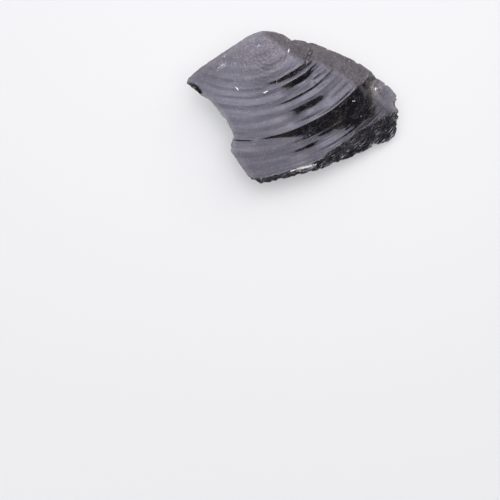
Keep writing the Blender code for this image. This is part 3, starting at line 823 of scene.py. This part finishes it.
def sharp_edge_distance(mesh, points):
    """Distance in millimetres from each point to the nearest sharp edge."""
    ends = np.empty(len(mesh.edges) * 2, np.int32)
    mesh.edges.foreach_get("vertices", ends)
    sharp = np.zeros(len(mesh.edges), bool)
    mesh.attributes["sharp_edge"].data.foreach_get("value", sharp)
    ends = ends.reshape(-1, 2)[sharp]
    middles = points[ends].mean(axis=1)
    tree = KDTree(len(middles))
    for index, middle in enumerate(middles):
        tree.insert(middle, index)
    tree.balance()
    return np.array([min(tree.find(point)[2] / MM, EDGE_MOST) for point in points])


def thickness(mesh, points):
    """How thick the glass is straight in from each point, in millimetres."""
    tree = BVHTree.FromPolygons(points.tolist(), [tuple(face.vertices) for face in mesh.polygons])
    normals = np.empty(len(mesh.vertices) * 3)
    mesh.vertices.foreach_get("normal", normals)
    found = []
    for point, normal in zip(points, normals.reshape(-1, 3)):
        inward = -Vector(normal)
        distance = tree.ray_cast(Vector(point) + inward * 0.05 * MM, inward, THICK_MOST * MM)[3]
        found.append(THICK_MOST if distance is None else distance / MM)
    return np.array(found)


def glints_and_powder_at(x, y):
    """How much painted glint and crushed white powder lies at each point."""
    total = np.zeros(len(x))
    for bruise in GLINTS_AND_POWDER:
        away, share = line_distance(x, y, bruise.start, bruise.end)
        reach = bruise.reach * (0.25 + 0.75 * np.sin(pi * share))  # widest in the middle, like a lens
        total = np.maximum(total, bruise.strength * (1.0 - smooth_step(0.4 * reach, reach, away)))
    return total


def lies_on(surface, z, near, far):
    """1 where a surface is within near of height z, and 0 beyond far."""
    return 1.0 - smooth_step(near, far, np.abs(surface - z))


def mark_points(mesh):
    """Point attributes that the material reads: where edges, thin glass, facets, painted glints and crushed
    powder are.
    """
    points = point_array(mesh)
    x, y, z = (points / MM).T
    top = top_height(*fan_place(x, y))
    on_top = lies_on(top, z, *NEAR_TOP)
    rim = np.min([
        line_distance(x, y, start, end)[0] for side in SIDES for start, end in zip(side.rim, side.rim[1:])
    ], axis=0)
    spot, wall = [np.hypot(x - patch[0], y - patch[1]) / patch[2] for patch in (CRUSHED_SPOT, CRUSHED_WALL)]
    wall_cloud = WALL_CLOUD * (1.0 - smooth_step(*WALL_FADE, wall))
    cloud = np.maximum(1.0 - smooth_step(*SPOT_FADE, spot), wall_cloud)
    crushed = np.max([lies_on(facet_height(facet, x, y), z, *NEAR_FACET) for facet in (FLANK, STRIP)], axis=0)
    for name, values in {
        "edge_mm": sharp_edge_distance(mesh, points),
        "thick_mm": thickness(mesh, points),
        "rim_mm": np.minimum(rim, RIM_MOST),
        "on_top": on_top,
        "crushed": crushed,
        "cloud": on_top * cloud,
        "shoulder": on_top * lies_on(facet_height(SHOULDER, x, y), z, *NEAR_SHOULDER),
        "bruise": glints_and_powder_at(x, y) * (1.0 - smooth_step(*GLINT_AND_POWDER_DEPTH, top - z)),
    }.items():
        layer = mesh.attributes.new(name, "FLOAT", "POINT")
        layer.data.foreach_set("value", np.asarray(values, np.float32))


def linear(colour):
    """An sRGB hex colour as linear RGBA."""
    values = [int(colour[place:place + 2], 16) / 255.0 for place in (1, 3, 5)]
    return tuple(v / 12.92 if v <= 0.04045 else ((v + 0.055) / 1.055) ** 2.4 for v in values) + (1.0,)


def add_node(tree, kind, inputs=(), **settings):
    """Adds a node and returns its outputs. Inputs are set or linked, in order or by the keys of a dict."""
    node = tree.nodes.new("ShaderNode" + kind)
    for name, value in settings.items():
        setattr(node, name, value)
    for key, value in inputs.items() if isinstance(inputs, dict) else enumerate(inputs):
        if isinstance(value, bpy.types.NodeSocket):
            tree.links.new(value, node.inputs[key])
        else:
            node.inputs[key].default_value = value
    return node.outputs


def add_mask(tree, *factors):
    """Multiplies factors. A tuple is a smooth ramp: its value, the ends it runs between, and its levels."""
    mask = None
    for factor in factors:
        if isinstance(factor, tuple):
            factor = add_node(tree, "MapRange", factor, interpolation_type="SMOOTHSTEP")[0]
        mask = factor if mask is None else add_node(tree, "Math", (mask, factor), operation="MULTIPLY")[0]
    return mask


def new_material(name):
    """A material with an empty node tree, and that tree."""
    material = bpy.data.materials.new(name)
    material.use_nodes = True
    material.node_tree.nodes.clear()
    return material, material.node_tree


def black_volcanic_glass():
    """Obsidian: natural volcanic glass, near black all through, with conchoidal fracture surfaces as broken.

    To the eye that is a black, glossy surface with a faint violet-grey sheen, frosted with dust and tiny
    scratches, and white where the glass is crushed. Its colour also holds painted light: thin edges are
    painted paler and warmer for light shining through them, sharp edges carry a pale painted highlight, and
    painted glints are white.
    """
    material, tree = new_material("black_volcanic_glass_fractured")
    add = partial(add_node, tree)
    mask = partial(add_mask, tree)

    # Places on the glass: plain millimetres, and how far out and how far round the blow.
    in_mm = add("VectorMath", {0: add("TexCoord")["Object"], "Scale": 1.0 / MM}, operation="SCALE")[0]
    from_blow = add("VectorMath", (in_mm, (*BLOW, 0.0)), operation="SUBTRACT")[0]
    split = add("SeparateXYZ", (from_blow,))
    level = add("VectorMath", (from_blow, (1.0, 1.0, 0.0)), operation="MULTIPLY")[0]
    ring = add("VectorMath", (level,), operation="LENGTH")["Value"]
    toward_front = add("Math", (split["Y"], -1.0), operation="MULTIPLY")[0]
    turn = add("Math", (split["X"], toward_front), operation="ARCTAN2")[0]
    polar = add("CombineXYZ", (turn, ring, split["Z"]))[0]
    # One unit along a ring is 12 mm for the ripples, 4 mm for strokes and 0.5 mm for hackles. One unit out
    # from the blow is 1 mm, and 8 mm for hackles.
    ripple_place, stroke_place, hackle_place = [
        add("VectorMath", (polar, (MIDDLE_RING / along, 1.0 / out, height)), operation="MULTIPLY")[0]
        for along, out, height in ((12.0, 1.0, 1.0), (4.0, 1.0, 1.0), (0.5, 8.0, 0.0))
    ]
    from_eye = add("VectorMath", (in_mm, (*BULB_EYE, TOP)), operation="SUBTRACT")[0]
    eye_radius = add("VectorMath", (from_eye,), operation="LENGTH")["Value"]

    edge, rim, thick, on_top, crushed, cloud, shoulder, bruise = [
        add("Attribute", attribute_name=name)["Fac"]
        for name in ("edge_mm", "rim_mm", "thick_mm", "on_top", "crushed", "cloud", "shoulder", "bruise")
    ]

    # Noise: where each pattern lies, how wide its cells are in millimetres, and its detail.
    noises = {
        name: add("TexNoise", {"Vector": place, "Scale": 1.0 / cell, "Detail": detail})[0]
        for name, place, cell, detail in (
            ("handling", in_mm, 6.0, 3.0),
            ("olive", in_mm, 7.0, 2.0),
            ("waver", in_mm, 2.5, 2.0),
            ("ring_gaps", in_mm, 1.6, 3.0),
            ("scratches", in_mm, 1.5, 4.0),
            ("rim_dust", in_mm, 0.8, 4.0),
            ("dust_gaps", in_mm, 0.5, 3.0),
            ("stone", in_mm, 2.6, 3.0),
            ("mottling", in_mm, 0.7, 4.0),
            ("crushing", in_mm, 0.5, 4.0),
            ("shards", in_mm, 0.45, 4.0),
            ("edge_wear_and_highlight", in_mm, 0.9, 3.0),
            ("grain", in_mm, 0.30, 3.0),
            ("frosting", stroke_place, 0.30, 2.0),
            ("slivers", stroke_place, 0.36, 5.0),
            ("ripples", ripple_place, 0.35, 1.0),
            ("hackles", hackle_place, 1.0, 1.0),
        )
    }

    # Dust specks up to 0.4 mm and 0.2 mm wide. Each has a cell to itself, and most cells are bare.
    dust = []
    for cell, bare, reach in ((1.3, 0.55, 0.17), (0.55, 0.60, 0.22)):
        cells = add("TexVoronoi", {"Vector": in_mm, "Scale": 1.0 / cell})
        draw = add("SeparateColor", (cells["Color"],))[0]
        radius = mask((draw, bare, 1.0, 0.0, reach))
        dust.append(add("Math", (cells["Distance"], radius), operation="LESS_THAN")[0])
    specks, fine_specks = dust

    # Dust and fine scratches lie in rings 0.9 mm apart round the eye of the bulb, in patches 1.5 mm wide
    # where other pieces have rubbed, most of them on the half nearer the blow, and along the rim of the top.
    wavering = add("Math", (noises["waver"], 0.7, eye_radius), operation="MULTIPLY_ADD")[0]
    turns = add("Math", (wavering, 2.0 * pi / 0.9), operation="MULTIPLY")[0]
    waves = add("Math", (turns,), operation="COSINE")[0]
    dusted = mask(
        (waves, 0.0, 0.9), (eye_radius, 4.0, 10.5, 1.0, 0.0), (noises["ring_gaps"], 0.36, 0.52), 0.85
    )
    scratched = mask((noises["scratches"], 0.50, 0.62), (ring, 20.0, 32.0, 1.0, 0.2))
    rim_dust = mask((noises["rim_dust"], 0.38, 0.56), (rim, 0.3, 1.9, 1.0, 0.0))
    for other in (scratched, rim_dust):
        dusted = add("Math", (dusted, other), operation="MAXIMUM")[0]
    dusted = mask(dusted, (noises["dust_gaps"], 0.40, 0.56), on_top)

    # Handling has dulled the glass in broad patches and round the eye. Nearer the blow it has a grey bloom.
    olive = mask((noises["olive"], 0.50, 0.66), on_top)
    handled = mask((eye_radius, 4.0, 12.0, 0.6, 0.0), on_top)
    bloom = mask(
        (ring, 28.0, 40.0, 0.9, 0.0), (eye_radius, 7.0, 13.0, 0.0, 1.0), (turn, 0.05, 0.20, 1.0, 0.0), on_top
    )
    # Silvery frosting: strokes 0.3 mm by 1.2 mm along the rings, fewer off the top.
    frosting = mask(
        (noises["frosting"], 0.54, 0.74), (noises["handling"], 0.35, 0.6, 0.35, 1.0),
        (on_top, 0.0, 1.0, 0.3, 1.0),
    )
    # Painted light: where the glass is thinner than about 3 mm its colour is made paler and warmer, standing
    # for light that shines through the thin edge.
    thin_edge_painted_light = mask((thick, 0.4, 3.2, 0.60, 0.0), (noises["handling"], 0.3, 0.7, 0.6, 1.0))
    # The smooth shoulder is stony, in two greys. Crushed glass is frosted, with white slivers 0.4 mm by
    # 1.4 mm that lie along the rings, most of them near the rim, and two patches of it are clouded.
    mottled = mask(shoulder, (noises["mottling"], 0.30, 0.70, 0.35, 1.0))
    frost = mask(crushed, (noises["shards"], 0.60, 0.74))
    slivers = mask(
        (noises["slivers"], 0.53, 0.64), (noises["stone"], 0.42, 0.58), crushed, (rim, 0.8, 3.6, 1.0, 0.3)
    )
    clouded = mask(cloud, (noises["crushing"], 0.30, 0.66))
    # Within 0.4 mm of a sharp edge the glass is pale: edge wear, and a painted highlight standing for the
    # thin bright lines where edges catch the light.
    worn_and_highlit_edges = mask((edge, 0.0, 0.40, 1.0, 0.0), (noises["edge_wear_and_highlight"], 0.50, 0.66))
    rim_specks = mask(fine_specks, (rim, 0.5, 4.0, 0.5, 0.20))
    # The painted glints and the white powder break up into grains 0.3 mm wide towards the sides of each mark.
    whitened = add("Math", (bruise, 0.42, noises["grain"]), operation="MULTIPLY_ADD")[0]
    near_glint_and_powder = add("Math", (bruise, 3.0), operation="MULTIPLY", use_clamp=True)[0]
    glint_and_powder_mask = mask((whitened, 0.62, 0.76), near_glint_and_powder)

    # Colour: two near blacks and two stone greys, then layers, each with how far it covers what is under it.
    glass, stone = [
        add("Mix", {0: mask(share), 6: linear(first), 7: linear(second)}, data_type="RGBA")[2]
        for share, first, second in (
            ((noises["handling"], 0.35, 0.65), "#0d0c0e", "#131215"),
            ((noises["stone"], 0.38, 0.62), "#4f494e", "#605a5e"),
        )
    ]
    for share, cover, colour in (
        (olive, 0.45, linear("#2c2b20")),
        (handled, 1.0, linear("#281f18")),
        (bloom, 1.0, linear("#34323a")),
        (dusted, 0.30, linear("#9a948f")),
        (frosting, 0.28, linear("#78757b")),
        (thin_edge_painted_light, 1.0, linear("#5a5856")),
        (mottled, 0.85, stone),
        (frost, 0.40, linear("#9f9da2")),
        (slivers, 0.72, linear("#cfcdd0")),
        (clouded, 0.60, linear("#76726f")),
        (worn_and_highlit_edges, 0.45, linear("#b4b2b2")),
        (rim_specks, 1.0, linear("#a9a7a8")),
        (specks, 0.30, linear("#c4c2c2")),
        # painted glints and crushed powder, in near white
        (glint_and_powder_mask, 1.0, linear("#eeedec")),
    ):
        glass = add("Mix", {0: mask(share, cover), 6: glass, 7: colour}, data_type="RGBA")[2]

    # Roughness: 0.13 to 0.20 on a fresh fracture, 0.26 on crushed facets, more where worn, dusty or white.
    roughness = mask((noises["handling"], 0.3, 0.7, 0.13, 0.20))
    for share, level in (
        (handled, 0.45), (worn_and_highlit_edges, 0.50), (crushed, 0.26), (clouded, 0.55), (slivers, 0.55), (specks, 0.75),
        (glint_and_powder_mask, 0.75),
    ):
        roughness = add("Math", (roughness, mask(share, level)), operation="MAXIMUM")[0]

    # Relief in millimetres: ripples 0.35 mm wide along the rings, hackles across them, grain, shards where
    # the glass is crushed, clouded or worn, and dust specks.
    broken = add("Math", (worn_and_highlit_edges, cloud), operation="MAXIMUM")[0]
    relief = 0.0
    for pattern, height in (
        (mask(noises["ripples"], on_top), 0.0070),
        (mask(noises["hackles"], on_top), 0.0022),
        (noises["grain"], 0.0018),
        (mask(noises["shards"], crushed), 0.15),
        (mask(noises["shards"], broken), 0.09),
        (specks, 0.02),
    ):
        relief = add("Math", (pattern, height, relief), operation="MULTIPLY_ADD")[0]
    bump = add("Bump", {"Height": relief, "Distance": MM, "Strength": 1.0})[0]

    shader = add("BsdfPrincipled", {
        "Base Color": glass, "Roughness": roughness, "IOR": 1.50, "Normal": bump,
        "Specular IOR Level": 0.60, "Specular Tint": linear("#ebe8ff"),
    })[0]
    add("OutputMaterial", {"Surface": shader})
    return material


def make_chunk():
    """The fine chunk, inside the CAD part's box, standing for the CAD solid."""
    mesh = break_block()
    mesh.name = "obsidian_chunk_fine"
    mesh.shade_smooth()
    mesh.set_sharp_from_angle(angle=radians(SHARP_ANGLE))
    mark_points(mesh)
    points, scale = fit_in_box(point_array(mesh), cad_low, cad_high)
    mesh.vertices.foreach_set("co", points.ravel())
    mesh.update()
    print("fine chunk:", len(mesh.polygons), "triangles, scaled by", round(scale, 5))
    mesh.materials.clear()
    mesh.materials.append(black_volcanic_glass())
    chunk = new_object("obsidian_chunk_fine", mesh, bpy.context.scene.collection)
    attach(chunk, "root")
    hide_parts("obsidian_chunk")


def matt_white_board():
    """The floor: matt white board. To the camera it glows a little, and further off it has no horizon."""
    material, tree = new_material("matt_white_board")
    add = partial(add_node, tree)
    far = add("VectorMath", (add("TexCoord")["Object"],), operation="LENGTH")["Value"]
    share = add_mask(tree, (far, *GLOW_REACH, GLOW_NEAR, 1.0), add("LightPath")["Is Camera Ray"])
    board = add("BsdfPrincipled", {"Base Color": linear("#dfe0e2"), "Roughness": 0.9})[0]
    glow = add("Emission", {"Color": linear(BACKDROP), "Strength": 1.0})[0]
    add("OutputMaterial", {"Surface": add("MixShader", (share, board, glow))[0]})
    return material


def make_floor():
    bpy.ops.mesh.primitive_circle_add(vertices=64, radius=FLOOR_RADIUS, fill_type="NGON")
    floor = bpy.context.object
    floor.name = "floor"
    floor.data.materials.append(matt_white_board())


def softbox(name, place, aim, size, strength, colour, centre):
    """A panel of soft light, unseen by the camera. centre is how much brighter its middle is."""
    bpy.ops.mesh.primitive_plane_add(size=1.0, location=place)
    panel = bpy.context.object
    panel.name = name
    panel.scale = (*size, 1.0)
    panel.rotation_euler = (Vector(aim) - Vector(place)).to_track_quat("-Z", "Y").to_euler()
    panel.visible_camera = False
    panel.visible_shadow = False
    material, tree = new_material(name)
    add = partial(add_node, tree)
    off = add("VectorMath", (add("TexCoord")["Object"],), operation="LENGTH")["Value"]
    glow = add_mask(tree, (off, 0.0, SOFTBOX_MIDDLE, strength * centre, strength))
    emission = add("Emission", {"Color": linear(colour), "Strength": glow})[0]
    add("OutputMaterial", {"Surface": emission})
    panel.data.materials.append(material)


def make_world():
    """A pale backdrop to the camera. The glass reflects a dim room, brighter behind the chunk."""
    world = bpy.data.worlds.new("room")
    bpy.context.scene.world = world
    world.use_nodes = True
    tree = world.node_tree
    tree.nodes.clear()
    add = partial(add_node, tree)
    way = add("SeparateXYZ", (add("TexCoord")["Generated"],))
    strength = add_mask(tree, (way["Y"], *ROOM_LIGHT))
    room = add("Background", {"Color": linear("#f4f4fa"), "Strength": strength})[0]
    pale = add("Background", {"Color": linear(BACKDROP), "Strength": 1.0})[0]
    both = add("MixShader", (add("LightPath")["Is Camera Ray"], room, pale))[0]
    add("OutputWorld", {"Surface": both})


def make_camera():
    """A long lens looking straight down, with the chunk in the upper middle of the view."""
    camera = bpy.data.cameras.new("camera")
    camera.lens = LENS
    camera.sensor_width = SENSOR_WIDTH
    camera.clip_start = MM
    holder = new_object("camera", camera, bpy.context.scene.collection)
    holder.location = CAMERA_PLACE
    bpy.context.scene.camera = holder


def clear_startup():
    for name in ("Cube", "Light", "Camera"):
        if name in bpy.data.objects:
            bpy.data.objects.remove(bpy.data.objects[name], do_unlink=True)


clear_startup()
make_chunk()
make_floor()
softbox("overhead_softbox", (-0.02, 0.05, 0.42), (-0.02, 0.05, 0), (0.46, 0.42), 3.0, "#fffdff", 2.4)
softbox("back_right_panel", (0.25, 0.27, 0.34), (0, 0, 0), (0.34, 0.34), 1.6, "#fff9f4", 1.1)
make_world()
make_camera()
bpy.context.scene.view_settings.view_transform = "Standard"
